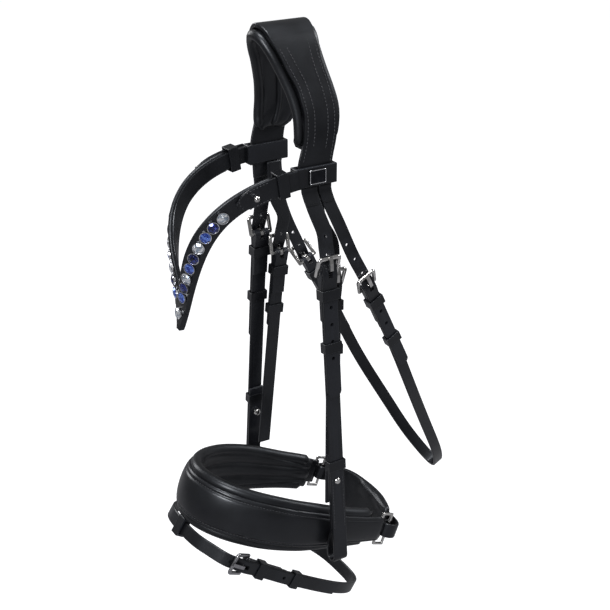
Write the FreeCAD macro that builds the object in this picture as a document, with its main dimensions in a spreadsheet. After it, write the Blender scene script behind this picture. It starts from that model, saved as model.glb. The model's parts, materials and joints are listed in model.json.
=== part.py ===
import FreeCAD, Part

import math
import os

import Sketcher

from FreeCAD import Placement, Rotation, Vector

# Snaffle bridle, millimetres. +Z is up, -Y is the forehead side, +X is the horse's left (near side).
# The origin is the middle of the poll, on the underside of the crown pad.

SIZES = {
    "leather": 2.8, "strap_gap": 0.15, "edge_round": 0.9,
    "cheek_width": 16, "hanger_width": 14, "throat_width": 13, "flash_width": 14, "crank_width": 16,
    "wire_radius": 1.6, "bar_clearance": 0.1, "frame_flat": 0.9, "frame_rise": 16.5, "frame_lift": 6.7,
    "tongue_width": 3.6, "tongue_thick": 2.2, "slot_width": 4.6, "slot_length": 11,
    "keeper_wall": 1.5, "keeper_height": 10.5, "keeper_clearance": 0.25,
    "cheek_length": 309, "bit_fold_radius": 5, "bit_tab_length": 118, "chape_length": 46,
    "billet_overlap": 127, "hole_radius": 1.8, "hole_pitch": 17.5,
    "crown_top_width": 53, "crown_end_width": 36, "crown_thick": 4, "crown_top": 12, "crown_end": 134,
    "pad_width": 60, "pad_thick": 8, "pad_end": 100,
    "head_half_width": 44, "loop_height": 19, "loop_top": 113, "loop_wall": 2.6,
    "brow_height": 16, "brow_thick": 6, "tab_width": 20, "crystal_radius": 5.2, "crystal_pitch": 11.9, "setting_wall": 0.5,
    "nose_half_width": 72.5, "nose_front": 127, "nose_rear": 85, "nose_height": 50, "nose_end_height": 32,
    "nose_thick": 4.6, "lining_thick": 7, "nose_tilt": 22, "nose_drop": 502, "nose_shift": 3,
    "chin_height": 44, "chin_thick": 10, "flash_tilt": 34, "flash_half_width": 58, "flash_half_length": 118,
}

# Fixed choices that no other size follows, in mm, degrees or shares of a length.
SKIN_RUN = 6                                        # rings joined by one smooth face
ARCH_STEPS = 14                                     # rings on each half of the headpiece
STUD_RISE = 88                                      # bit stud above the middle of the bit fold
STUD_HOLE = 2.1
SLOT_CENTRE = 2.3                                   # middle of the billet's tongue slot above the bar
JOIN_STEP = 0.16                                    # a strap is this much slimmer than the chape it joins
DEE_WIRE, DEE_LENGTH, DEE_INSET = 1.4, 12, 5.6      # rings at the noseband's ends
FLASH_BAR, FLASH_RUNNER = 57, 88                    # degrees round the flash ring from its front
ARM_STEPS, ARM_START, ARM_END = 24, -0.1, 0.995     # one arm of the browband
TAB_SHARE, STUD_SHARE, KEEPER_SHARE = 0.76, 0.84, 0.945
FIRST_STONE = 20                                    # along the arm from the stone at the tip
STONE_LIFT = 0.4
PLATE = (9, 7, 1.2)                                 # half length, half height and border of the name plate

doc = FreeCAD.newDocument("snaffle_bridle")
sheet = doc.addObject("Spreadsheet::Sheet", "Sizes")
for number, (alias, value) in enumerate(SIZES.items(), start=1):
    sheet.set("A%d" % number, alias)
    sheet.set("B%d" % number, str(value))
    sheet.setAlias("B%d" % number, alias)
doc.recompute()

parts = []


def size(alias):
    """A driving dimension, read from the sheet."""
    return float(sheet.get(alias))


def bind(target, prop, expression):
    target.setExpression(prop, expression)



# ---------------------------------------------------------------- shape helpers

def keep(part, label):
    part.Label = label
    parts.append(part)
    return part


def feature(label, shape, place=Placement()):
    """A sub-part whose leather bends in three directions, so it holds its own shape."""
    part = doc.addObject("Part::Feature", label)
    part.Shape = shape
    part.Placement = place
    return keep(part, label)


def group(label, members):
    compound = doc.addObject("Part::Compound", label)
    compound.Links = members
    return keep(compound, label)


def plane_of(body, role):
    return [item for item in body.Origin.OriginFeatures if item.Role == role][0]


def new_sketch(body, name, role="XZ_Plane"):
    sketch = body.newObject("Sketcher::SketchObject", name)
    sketch.AttachmentSupport = [(plane_of(body, role), "")]
    sketch.MapMode = "FlatFace"
    return sketch


def new_pad(body, name, sketch, length):
    pad = body.newObject("PartDesign::Pad", name)
    pad.Profile = sketch
    pad.SideType = "Symmetric"
    bind(pad, "Length", length)
    return pad


def new_pocket(body, name, sketch, length):
    pocket = body.newObject("PartDesign::Pocket", name)
    pocket.Profile = sketch
    pocket.SideType = "Symmetric"
    bind(pocket, "Length", length)
    return pocket


def circle(sketch, radius, centre=(0, 0)):
    """A circle whose radius follows the sheet."""
    index = sketch.addGeometry(Part.Circle(Vector(centre[0], centre[1], 0), Vector(0, 0, 1), 1))
    mark = sketch.addConstraint(Sketcher.Constraint("Radius", index, 1))
    bind(sketch, "Constraints[%d]" % mark, radius)


def rectangle(sketch, low, high):
    """A rectangle whose low and high corners are pairs of expressions."""
    corners = [Vector(-1, -1, 0), Vector(1, -1, 0), Vector(1, 1, 0), Vector(-1, 1, 0)]
    first = sketch.GeometryCount
    for start, end in zip(corners, corners[1:] + corners[:1]):
        sketch.addGeometry(Part.LineSegment(start, end))
    for side in range(4):
        following = first + (side + 1) % 4
        sketch.addConstraint(Sketcher.Constraint("Coincident", first + side, 2, following, 1))
        direction = "Vertical" if side % 2 else "Horizontal"
        sketch.addConstraint(Sketcher.Constraint(direction, first + side))
    for corner, pair in ((first, low), (first + 2, high)):
        for kind, expression, value in zip(("DistanceX", "DistanceY"), pair, corners[corner - first]):
            mark = sketch.addConstraint(Sketcher.Constraint(kind, -1, 1, corner, 1, value))
            bind(sketch, "Constraints[%d]" % mark, expression)


def polygon(sketch, points, bends=None):
    """Lines from point to point; bends maps a point to the middle of the round arc that leaves it."""
    for start, end in zip(points, points[1:] + points[:1]):
        first, last = Vector(*start, 0), Vector(*end, 0)
        if bends and start in bends:
            sketch.addGeometry(Part.Arc(first, Vector(*bends[start], 0), last))
        else:
            sketch.addGeometry(Part.LineSegment(first, last))


def section(centre, across, outward, width, thick):
    """Points round a strap's cut end: a rectangle with rounded corners."""
    half, deep = width / 2, thick / 2
    turn = min(size("edge_round"), deep * 0.8)
    ring = []
    for quarter in range(4):
        sx, sy = (1, 1, -1, -1)[quarter], (-1, 1, 1, -1)[quarter]
        for step in range(3):
            angle = math.radians(90 * quarter - 90 + 45 * step)
            x = sx * (half - turn) + turn * math.cos(angle)
            y = sy * (deep - turn) + turn * math.sin(angle)
            ring.append(centre + across * x + outward * y)
    return ring


def skin(rings):
    """A closed solid over matching rings of points, smooth along its length."""
    last = len(rings) - 1
    marks = [step / last for step in range(last + 1)]
    rails = []
    for corner in range(len(rings[0])):
        rail = Part.BSplineCurve()
        rail.interpolate(Points=[ring[corner] for ring in rings], Parameters=marks)
        rails.append(rail)
    faces = [Part.Face(Part.makePolygon(ring + ring[:1])) for ring in (rings[0], rings[-1])]
    for first in range(0, last, SKIN_RUN):
        low, high = marks[first], marks[min(first + SKIN_RUN, last)]
        edges = [rail.toShape(low, high) for rail in rails]
        faces += [Part.makeRuledSurface(one, two) for one, two in zip(edges, edges[1:] + edges[:1])]
    shell = Part.Shell(faces)
    shell.sewShape()
    solid = Part.Solid(shell)
    if solid.Volume < 0:
        solid.reverse()
    return solid


def ribbon(path, outward, widths, thicks, count):
    """A strap lofted along a smooth path; outward, widths and thicks run from its start to its end."""
    curve = Part.BSplineCurve()
    curve.interpolate([Vector(*point) for point in path])
    total = curve.length()
    rings = []
    for step in range(count + 1):
        fraction = step / count
        at = curve.parameterAtDistance(total * fraction)
        tangent = curve.tangent(at)[0]
        out = Vector(*along(outward, fraction))
        out = (out - tangent * out.dot(tangent)).normalize()
        across = tangent.cross(out)
        rings.append(section(curve.value(at), across, out, along(widths, fraction), along(thicks, fraction)))
    return skin(rings)


def along(values, fraction):
    """The value at a fraction of the way through an evenly spaced list."""
    place = fraction * (len(values) - 1)
    index = min(int(place), len(values) - 2) if len(values) > 1 else 0
    if len(values) == 1:
        return values[0]
    share = place - index
    low, high = values[index], values[index + 1]
    if isinstance(low, tuple):
        return tuple(a + (b - a) * share for a, b in zip(low, high))
    return low + (high - low) * share


def frame_at(origin, outward, upward):
    """A placement with local X outward, local Z along upward and the origin at a buckle's bar."""
    up = Vector(*upward).normalize()
    out = Vector(*outward)
    out = (out - up * out.dot(up)).normalize()
    return Placement(FreeCAD.Matrix(
        out.x, up.cross(out).x, up.x, origin[0],
        out.y, up.cross(out).y, up.y, origin[1],
        out.z, up.cross(out).z, up.z, origin[2], 0, 0, 0, 1))


def local(place, x, y, z):
    point = place.multVec(Vector(x, y, z))
    return (point.x, point.y, point.z)


def turned(place, x, y, z):
    point = place.Rotation.multVec(Vector(x, y, z))
    return (point.x, point.y, point.z)


# ---------------------------------------------------------------- buckle hardware and straps

def buckle_frame(label, place, width):
    """A flat wire frame that leans outward from its bar, so a billet passes behind its top."""
    body = doc.addObject("PartDesign::Body", label)
    lean = math.degrees(math.atan2(size("frame_lift"), size("frame_rise")))
    inner = "(%s / 2 + 1.3)" % width
    bow = "(2 * Sizes.wire_radius + Sizes.frame_flat)"
    top = "sqrt(Sizes.frame_lift ^ 2 + Sizes.frame_rise ^ 2)"
    plate = new_sketch(body, "Outside", "YZ_Plane")
    rectangle(plate, ("-%s - %s" % (inner, bow), "-Sizes.wire_radius"),
              ("%s + %s" % (inner, bow), top + " + Sizes.wire_radius + Sizes.frame_flat"))
    new_pad(body, "Plate", plate, "2 * Sizes.wire_radius")
    window = new_sketch(body, "Inside", "YZ_Plane")
    rectangle(window, ("-" + inner, "Sizes.wire_radius"), (inner, top + " - Sizes.wire_radius"))
    new_pocket(body, "Window", window, "4 * Sizes.wire_radius")
    doc.recompute()
    half, end = body.Tip.Shape.BoundBox.YMax, body.Tip.Shape.BoundBox.ZMax
    fillet_edges(body, "Bow", cross_edges(body, lambda y, z: y > half - 1 and z > end - 1), 4.5)
    fillet_edges(body, "Heel", cross_edges(body, lambda y, z: y > half - 1 and z < 0), 2)
    fillet_edges(body, "Window", cross_edges(body, lambda y, z: y < half - 1 and z < end - 1), 1.2)
    fillet_edges(body, "Rims", rim_edges(body), 1.5)
    body.Placement = place.multiply(Placement(Vector(0, 0, 0), Rotation(Vector(0, 1, 0), lean)))
    return keep(body, label)


def fillet_edges(body, name, names, radius):
    """Rounds the named edges of a body's last feature."""
    base = body.Tip
    fillet = body.newObject("PartDesign::Fillet", body.Name + name)
    fillet.Base = (base, names)
    fillet.Radius = radius
    body.Tip = fillet
    doc.recompute()


def round_all(body, radius):
    edges = ["Edge%d" % number for number in range(1, len(body.Tip.Shape.Edges) + 1)]
    fillet_edges(body, "Round", edges, radius)


def cross_edges(body, wanted):
    """The straight edges that run along X at the places, given as |y| and z, that are wanted."""
    names = []
    for number, edge in enumerate(body.Tip.Shape.Edges, start=1):
        first, last = edge.Vertexes[0].Point, edge.Vertexes[-1].Point
        along_x = abs(first.x - last.x) > 0.1 and abs(first.y - last.y) + abs(first.z - last.z) < 0.001
        if along_x and wanted(abs(first.y), first.z):
            names.append("Edge%d" % number)
    return names


def rim_edges(body):
    """The edges round a plate's two flat faces."""
    deep = body.Tip.Shape.BoundBox.XMax
    names = []
    for number, edge in enumerate(body.Tip.Shape.Edges, start=1):
        if all(abs(abs(vertex.Point.x) - deep) < 0.001 for vertex in edge.Vertexes):
            if abs(edge.Vertexes[0].Point.x - edge.Vertexes[-1].Point.x) < 0.001:
                names.append("Edge%d" % number)
    return names


def tongue(label, place):
    """A ring on the buckle's bar, and a prong that passes the billet and rests on the frame's top."""
    body = doc.addObject("PartDesign::Body", label)
    ring = new_sketch(body, "Ring")
    circle(ring, "2 * Sizes.wire_radius + 0.1")
    new_pad(body, "RingPad", ring, "Sizes.tongue_width")
    prong = new_sketch(body, "Prong")
    rise, lift, wire = size("frame_rise"), size("frame_lift"), size("wire_radius")
    thick = size("tongue_thick")
    rest = lift + wire + 0.15
    polygon(prong, [(0.5, 1.2), (rest - 0.2, 6.2), (rest + 0.5, rise - 4), (rest + 0.2, rise + 2.2),
                    (rest + thick - 0.4, rise + 2.2), (rest + thick + 0.3, rise - 4), (rest + thick, 5),
                    (2.2, -0.2)])
    new_pad(body, "ProngPad", prong, "Sizes.tongue_width")
    hole = new_sketch(body, "Hole")
    circle(hole, "Sizes.wire_radius + 0.08")
    new_pocket(body, "HolePocket", hole, "3 * Sizes.tongue_width")
    doc.recompute()
    body.Placement = place
    return keep(body, label)


def keeper(label, place, width, inside, outside):
    """A leather loop around a strap; inside and outside are the local X of what it holds."""
    body = doc.addObject("PartDesign::Body", label)
    slack, wall = "Sizes.keeper_clearance", "Sizes.keeper_wall"
    half = "(%s / 2 + %s)" % (width, slack)
    low, high = "(%g - %s)" % (inside, slack), "(%g + %s)" % (outside, slack)
    outer = new_sketch(body, "Outside", "XY_Plane")
    rectangle(outer, (low + " - " + wall, "-" + half + " - " + wall), (high + " + " + wall, half + " + " + wall))
    new_pad(body, "Block", outer, "Sizes.keeper_height")
    inner = new_sketch(body, "Inside", "XY_Plane")
    rectangle(inner, (low, "-" + half), (high, half))
    new_pocket(body, "Opening", inner, "2 * Sizes.keeper_height")
    doc.recompute()
    round_all(body, 0.5)
    body.Placement = place
    return keep(body, label)


def strap_body(label, place, width, points, bends=None):
    """A strap drawn in side view and padded to its width."""
    body = doc.addObject("PartDesign::Body", label)
    side = new_sketch(body, "SideView")
    polygon(side, points, bends)
    new_pad(body, "Leather", side, width)
    body.Placement = place
    return body


def arc_points(centre, radius, first, last, count):
    """Points on a fold, from one angle to another, in degrees."""
    turns = [math.radians(first + (last - first) * step / count) for step in range(count + 1)]
    return [(centre[0] + radius * math.cos(turn), centre[1] + radius * math.sin(turn)) for turn in turns]


def chape_outline():
    """The fold round a buckle bar, from the outer face over the top to the end of the turned-back leg."""
    leather, gap = size("leather"), size("wire_radius") + size("bar_clearance")
    outer = gap + leather
    end = -size("chape_length")
    return arc_points((0, 0), outer, 0, 180, 10) + [(-leather, -14), (-leather, end), (-0.05, end - 1)]


def bar_hole(body):
    """The round passage for the buckle's bar and the slot its tongue turns in."""
    hole = new_sketch(body, "BarHole")
    circle(hole, "Sizes.wire_radius + Sizes.bar_clearance")
    new_pocket(body, "BarPocket", hole, "200")
    slot = new_sketch(body, "TongueSlot", "XY_Plane")
    rectangle(slot, ("-20", "-Sizes.slot_width / 2"), ("20", "Sizes.slot_width / 2"))
    new_pocket(body, "SlotPocket", slot, "Sizes.slot_length")
    doc.recompute()


def hook_round(body, width, radius):
    """Rounds the long edges of a padded strap, which are the ones on its two side faces."""
    half = width / 2
    names = []
    for number, edge in enumerate(body.Tip.Shape.Edges, start=1):
        ends = [vertex.Point.y for vertex in edge.Vertexes]
        on_side = all(abs(abs(y) - half) < 1e-4 for y in ends) and abs(ends[0] - ends[-1]) < 1e-4
        if on_side and edge.Length > 30:
            names.append("Edge%d" % number)
    fillet_edges(body, "Round", names, radius)


def cheekpiece(label, place):
    """The long cheek strap, folded over the buckle bar above and up round the bit ring below."""
    leather, fold, end = size("leather"), size("bit_fold_radius"), -size("cheek_length")
    tab = end + size("bit_tab_length")
    gap = size("strap_gap")
    points = chape_outline() + [(0, -size("chape_length") - 1), (0, end)]
    points += [(-2 * fold, end), (-2 * fold, end + 6), (-gap, end + 34), (-gap, tab),
               (-gap - leather / 2, tab + 1.4), (-gap - leather, tab), (-gap - leather, end + 34),
               (-2 * fold - leather, end + 6), (-2 * fold - leather, end), (leather, end), (leather, -14)]
    bends = {(0, end): (-fold, end - fold), (-2 * fold - leather, end): (-fold, end - fold - leather)}
    body = strap_body(label, place, "Sizes.cheek_width", points, bends)
    bar_hole(body)
    rivet = new_sketch(body, "StudHole", "YZ_Plane")
    circle(rivet, str(STUD_HOLE), (0, end + STUD_RISE))
    new_pocket(body, "StudPocket", rivet, "60")
    doc.recompute()
    hook_round(body, size("cheek_width"), 0.7)
    return keep(body, label)


def hanger(label, place, length):
    """The noseband's side strap, folded over its buckle bar and stitched to the band below."""
    leather = size("leather")
    points = chape_outline() + [(0, -size("chape_length") - 1), (0, -length), (leather, -length), (leather, -14)]
    body = strap_body(label, place, "Sizes.hanger_width", points)
    bar_hole(body)
    hook_round(body, size("hanger_width"), 0.7)
    return keep(body, label)


def over_buckle(place, tip):
    """The middle line of a billet from above its buckle, behind the frame, over the bar, to its tip."""
    line = [(-0.2, 40), (1.5, 27), (2.95, 18), (3.3, 14.5), (6.1, 4), (6.35, 0), (5.3, -8), (4.55, -14)]
    straight = [-20, -26, -34, -44]
    while straight[-1] > tip + 16:
        straight.append(straight[-1] - 12)
    line += [(4.45, z) for z in straight + [tip]]
    return [local(place, x, 0, z) for x, z in line]


def billet(place, top_points, width, tip, holes):
    """A billet from the crown, through its buckle, with its punched holes."""
    path = top_points + over_buckle(place, tip)
    outward = turned(place, 1, 0, 0)
    shape = ribbon(path, [outward], [width], [size("leather")], 30)
    along_x = Vector(*outward)
    for step in holes:
        z = SLOT_CENTRE + step * size("hole_pitch")
        start = Vector(*local(place, -12, 0, z))
        shape = shape.cut(Part.makeCylinder(size("hole_radius"), 30, start, along_x))
    slot = Part.makeBox(12, size("slot_width"), 9.2, Vector(1, -size("slot_width") / 2, SLOT_CENTRE - 4.6))
    slot.Placement = place.multiply(slot.Placement)
    rounding = Part.makeCylinder(width / 2, 20, Vector(-6, 0, tip + width / 2), Vector(1, 0, 0))
    end = Part.makeBox(20, width + 4, width / 2 + 4, Vector(-6, -width / 2 - 2, tip - 4)).cut(rounding)
    end.Placement = place.multiply(end.Placement)
    return shape.cut(slot).cut(end)


def mirrored(points, side):
    return [(side * x, y, z) for x, y, z in points]


def buckle_set(name, place, width_alias, runner_place):
    """Tongue, fixed keeper and runner for one buckle."""
    width = "Sizes." + width_alias
    leather = size("leather")
    outer = 4.45 + leather / 2
    tongue(name + "_tongue", place)
    keeper(name + "_runner", runner_place, width, 0, outer)
    fixed_place = place.multiply(Placement(Vector(0, 0, -20), Rotation()))
    buckle_frame(name + "_buckle", place, width)
    keeper(name + "_fixed_keeper", fixed_place, width, -leather, outer)


def down(place, distance):
    """The same placement, moved down the strap."""
    return place.multiply(Placement(Vector(0, 0, -distance), Rotation()))


# ---------------------------------------------------------------- cheeks

def cheek_side(name, side):
    place = frame_at((62 * side, 10.5, -216), (side, 0, 0), (-31 * side, 0, 316))
    top = mirrored([(45, 1.5, -136), (47.4, 3.1, -145), (53.2, 7.2, -162)], side)
    tip = -size("billet_overlap")
    feature(name + "_cheek_billet", billet(place, top, size("cheek_width"), tip, (2, 1, -2, -3, -4, -5)))
    cheekpiece(name + "_cheekpiece", place)
    buckle_set(name + "_cheek", place, "cheek_width", down(place, 74))
    end = -size("cheek_length")
    stud(name + "_bit_stud", down(place, -end - STUD_RISE))
    leather = size("leather")
    loop = down(place, -end - STUD_RISE - 18)
    keeper(name + "_bit_keeper", loop, "Sizes.cheek_width", -leather - 0.2, leather)


def stud(label, place):
    """A hook stud: a ball on a post, riveted through both layers of the cheekpiece."""
    body = doc.addObject("PartDesign::Body", label)
    half = new_sketch(body, "HalfSection", "XY_Plane")
    leather = size("leather")
    rivet, inner = leather + 0.9, -leather - 0.3
    polygon(half, [(rivet, 0), (rivet, 2.6), (leather + 0.1, 3.2), (leather + 0.1, 1.9), (inner - 1, 1.9),
                   (inner - 1.6, 3.2), (inner - 3, 3.9), (inner - 4.6, 3.2), (inner - 5.4, 1.6), (inner - 5.6, 0)])
    turn = body.newObject("PartDesign::Revolution", "Turned")
    turn.Profile = half
    turn.ReferenceAxis = (half, ["H_Axis"])
    turn.Angle = 360
    doc.recompute()
    body.Placement = place
    return keep(body, label)


# ---------------------------------------------------------------- headpiece

def arch(drop):
    """Half of the headpiece's line over the poll, drop mm under its top: places and outward directions."""
    wide, top = size("head_half_width") + size("crown_thick") / 2, size("crown_top")
    shape = [(-0.34, 0.045), (0, 0), (0.34, 0.045), (0.55, 0.16), (0.73, 0.32), (0.91, 0.49), (1, 0.665),
             (1, 0.84), (1, 1)]
    fall = top + size("crown_end")
    line = Part.BSplineCurve()
    line.interpolate([Vector(wide * x, 0, top - fall * z) for x, z in shape])
    start = line.parameter(Vector(0, 0, top))
    spots = []
    for step in range(ARCH_STEPS + 1):
        at = start + (line.LastParameter - start) * step / ARCH_STEPS
        tangent = line.tangent(at)[0]
        outward = Vector(-tangent.z, 0, tangent.x)
        spots.append((line.value(at) - outward * drop, outward))
    return spots


def headpiece(label, drop, end, widths, middles, thick):
    """A strap over the poll; widths and middles (its place in Y) run from the crest to its end."""
    half = [(spot, outward) for spot, outward in arch(drop) if spot.z > -end - 1]
    across = Vector(0, 1, 0)
    rings = []
    for index in range(1 - len(half), len(half)):
        side = -1 if index < 0 else 1
        spot, out = half[abs(index)]
        share = abs(index) / (len(half) - 1)
        centre = Vector(side * spot.x, along(middles, share), spot.z)
        rings.append(section(centre, across, Vector(side * out.x, 0, out.z), along(widths, share), thick))
    return feature(label, skin(rings))


def crown():
    """The shaped headpiece, cut back behind the ears, and the wider pad under it."""
    thick = size("crown_thick")
    widths = [size("crown_top_width"), 47, 40, 36, 35, 35, 36, size("crown_end_width")]
    headpiece("crown_strap", thick / 2, size("crown_end"), widths, [0, 1, 6, 13, 16, 14, 9, 7], thick)
    pad_thick = size("pad_thick")
    pad_widths = [size("pad_width"), 54, 48, 45, 43, 43, 41, 36]
    drop = thick + pad_thick / 2 + size("strap_gap")
    headpiece("crown_pad", drop, size("pad_end"), pad_widths, [0, 0.5, 3, 8, 13, 16, 15, 12], pad_thick)


def side_billets(label, tops, place_of, width_alias, tip, holes):
    members = []
    for side in (1, -1):
        place = place_of(side)
        solid = doc.addObject("Part::Feature", "%s_%s" % (label, "left" if side > 0 else "right"))
        solid.Shape = billet(place, mirrored(tops, side), size(width_alias), tip, holes)
        members.append(solid)
    return group(label, members)


# ---------------------------------------------------------------- noseband

def nose_axes():
    """The tilted plane of the noseband: its origin, its rearward direction and its upward normal."""
    tilt = math.radians(size("nose_tilt"))
    origin = Vector(0, size("nose_shift"), -size("nose_drop"))
    return origin, Vector(0, math.cos(tilt), -math.sin(tilt)), Vector(0, math.sin(tilt), math.cos(tilt))


def nose_point(x, back, up=0):
    origin, rear, normal = nose_axes()
    point = origin + rear * back + normal * up
    return (x, point.y, point.z)


def nose_line(inset, rear_end, count=9):
    """The band's middle line: a half ellipse round the nose and nearly straight sides behind it."""
    wide, front = size("nose_half_width") - inset, size("nose_front") - inset
    line = []
    for step in range(-count, count + 1):
        turn = math.pi / 2 * step / count
        line.append((wide * math.sin(turn), -10 - (front - 10) * math.cos(turn)))
    sides = [(wide - 1, 25), (wide - 3, 55), (wide - 6, rear_end)]
    return [(-x, back) for x, back in sides[::-1]] + line + sides


def fan(line):
    """Outward directions along a line of (x, back) points round the noseband."""
    directions = []
    _, rear, _ = nose_axes()
    for index in range(len(line)):
        before, after = line[max(index - 1, 0)], line[min(index + 1, len(line) - 1)]
        out = Vector(1, 0, 0) * (before[1] - after[1]) * -1 + rear * (before[0] - after[0])
        out.normalize()
        directions.append((out.x, out.y, out.z))
    return directions


def nose_ribbon(line, widths, thick, count, up=0):
    path = [nose_point(x, back, up) for x, back in line]
    curve = Part.BSplineCurve()
    curve.interpolate([Vector(*point) for point in path])
    fractions = [curve.length(curve.FirstParameter, curve.parameter(Vector(*point))) for point in path[1:]]
    total = curve.length()
    marks = [0] + [length / total for length in fractions]
    directions = fan(line)
    even = []
    for step in range(41):
        share = step / 40
        index = max(number for number, mark in enumerate(marks[:-1]) if mark <= share)
        part_way = min((share - marks[index]) / (marks[index + 1] - marks[index]), 1)
        even.append(along([directions[index], directions[index + 1]], part_way))
    return ribbon(path, even, widths, [thick], count)


def noseband():
    rear, low, high = size("nose_rear"), size("nose_end_height"), size("nose_height")
    bar = rear - 4
    widths = [low, low + 4, high - 5, high - 1, high, high, high, high - 1, high - 5, low + 4, low]
    shape = nose_ribbon(nose_line(0, rear), widths, size("nose_thick"), 36)
    _, _, normal = nose_axes()
    x_end = size("nose_half_width") - DEE_INSET
    for side in (1, -1):
        start = Vector(*nose_point(side * x_end, bar, -30))
        shape = shape.cut(Part.makeCylinder(DEE_WIRE + 0.25, 60, start, normal))
    feature("noseband_band", shape)
    inset = size("nose_thick") / 2 + size("lining_thick") / 2 + 0.7
    lining_widths = [width + 5 for width in widths]
    feature("noseband_lining", nose_ribbon(nose_line(inset, rear - 14), lining_widths, size("lining_thick"), 36))
    rings = []
    for side in (1, -1):
        rings.append(dee("noseband_dee_%s" % ("left" if side > 0 else "right"), side * x_end, bar))
    group("noseband_dees", rings)


def dee(name, x, back):
    """A rectangular ring whose front wire sits in the band's end."""
    body = doc.addObject("PartDesign::Body", name)
    plate = new_sketch(body, "Outside", "YZ_Plane")
    wire, tall = DEE_WIRE, size("nose_end_height") / 2 + 2
    rectangle(plate, (str(-wire), str(-tall - wire)), (str(DEE_LENGTH + wire), str(tall + wire)))
    new_pad(body, "Plate", plate, str(2 * wire))
    window = new_sketch(body, "Inside", "YZ_Plane")
    rectangle(window, (str(wire), str(-tall + wire)), (str(DEE_LENGTH - wire), str(tall - wire)))
    new_pocket(body, "Window", window, "20")
    doc.recompute()
    round_all(body, 1)
    _, _, normal = nose_axes()
    body.Placement = frame_at(nose_point(x, back), (1, 0, 0), tuple(normal))
    return body


def chin():
    """The curved chin pad and the strap behind it, whose ends fold round the rings."""
    tall = size("chin_height")
    middle = size("nose_rear") + 22.5
    pad_line = [(-54, middle - 9), (-42, middle - 5), (-22, middle - 1), (0, middle), (22, middle - 1),
                (42, middle - 5), (54, middle - 9)]
    feature("chin_pad", nose_ribbon(pad_line, [tall - 12, tall - 2, tall, tall - 2, tall - 12],
                                    size("chin_thick"), 32))
    bar = size("nose_rear") - 4 + DEE_LENGTH
    ring_x = size("nose_half_width") - DEE_INSET
    side = [(ring_x - 5.6, bar + 9), (ring_x - 5.8, bar), (ring_x - 3, bar - 5), (ring_x + 1.6, bar - 5.4),
            (ring_x + 5.6, bar), (ring_x + 5, bar + 8), (ring_x - 8, bar + 16.5)]
    back = [(45, middle + 4), (22, middle + 7.8), (0, middle + 8.6)]
    half = side + back
    line = [(-x, y) for x, y in half] + half[-2::-1]
    feature("crank_strap", nose_ribbon(line, [size("crank_width")], 2.4, 76))


# ---------------------------------------------------------------- throatlash

def throat_place(side):
    if side > 0:
        return frame_at((62, 58, -240), (1, 0, 0.05), (0.06, -0.45, 0.88))
    return frame_at((-60, 66, -256), (-1, 0, 0.05), (-0.06, -0.45, 0.88))


def hanger_place(side):
    return frame_at((49 * side, 26, -236), (side, 0, 0), (-19 * side, 12, 234))


def chape_solid(place, width, tail):
    """The folded end of a strap at a buckle, down to where its single layer starts."""
    leather = size("leather")
    points = chape_outline() + [(0, -size("chape_length") - 1), (0, -tail), (leather, -tail), (leather, -14)]
    wire = Part.makePolygon([Vector(x, -width / 2, z) for x, z in points + points[:1]])
    solid = Part.Face(wire).extrude(Vector(0, width, 0))
    gap = size("wire_radius") + size("bar_clearance")
    solid = solid.cut(Part.makeCylinder(gap, 60, Vector(0, -30, 0), Vector(0, 1, 0)))
    slot = size("slot_width")
    solid = solid.cut(Part.makeBox(20, slot, 12, Vector(-10, -slot / 2, -6)))
    solid.Placement = place
    return solid


def throatlash():
    near, far = throat_place(1), throat_place(-1)
    middle = size("leather") / 2
    tail = size("chape_length") + 8
    start = [local(near, middle, 0, -z) for z in (tail - 2, tail + 10)]
    end = [local(far, middle, 0, -z) for z in (tail + 10, tail - 2)]
    bottom = [(54, 120, -366), (38, 165, -452), (20, 195, -507), (0, 205, -524),
              (-20, 195, -507), (-38, 166, -454), (-53, 124, -374)]
    path = start + bottom + end
    outward = [(1, 0, 0.05), (1, 0.05, 0), (1, 0.1, -0.1), (0.7, 0.5, -0.8), (0, 0.5, -0.9),
               (-0.7, 0.5, -0.8), (-1, 0.1, -0.1), (-1, 0.05, 0), (-1, 0, 0.05)]
    width = size("throat_width")
    shape = ribbon(path, outward, [width - JOIN_STEP], [size("leather") - JOIN_STEP], 50)
    shape = shape.fuse([chape_solid(near, width, tail), chape_solid(far, width, tail)])
    feature("throatlash_strap", shape)


# ---------------------------------------------------------------- flash strap

def flash_axes():
    tilt = math.radians(size("flash_tilt"))
    return Vector(0, -124, -492), Vector(0, math.cos(tilt), -math.sin(tilt)), \
        Vector(0, math.sin(tilt), math.cos(tilt))


def flash_point(turn, offset):
    """A point of the flash ring, a cubed ellipse, at an angle from its front, moved outward by offset."""
    origin, rear, _ = flash_axes()
    wide, long = size("flash_half_width") + 6 + offset, size("flash_half_length") + offset
    sine, cosine = math.sin(math.radians(turn)), math.cos(math.radians(turn))
    reach = (abs(sine) ** 3 + abs(cosine) ** 3) ** (-1 / 3)
    point = origin + rear * (size("flash_half_length") - long * cosine * reach)
    return (wide * sine * reach, point.y, point.z)


def flash_place():
    bar = flash_point(FLASH_BAR, 0)
    ahead = Vector(*flash_point(FLASH_BAR + 22, 0)) - Vector(*bar)
    return frame_at(bar, (1, 0, 0), tuple(-ahead))


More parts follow.
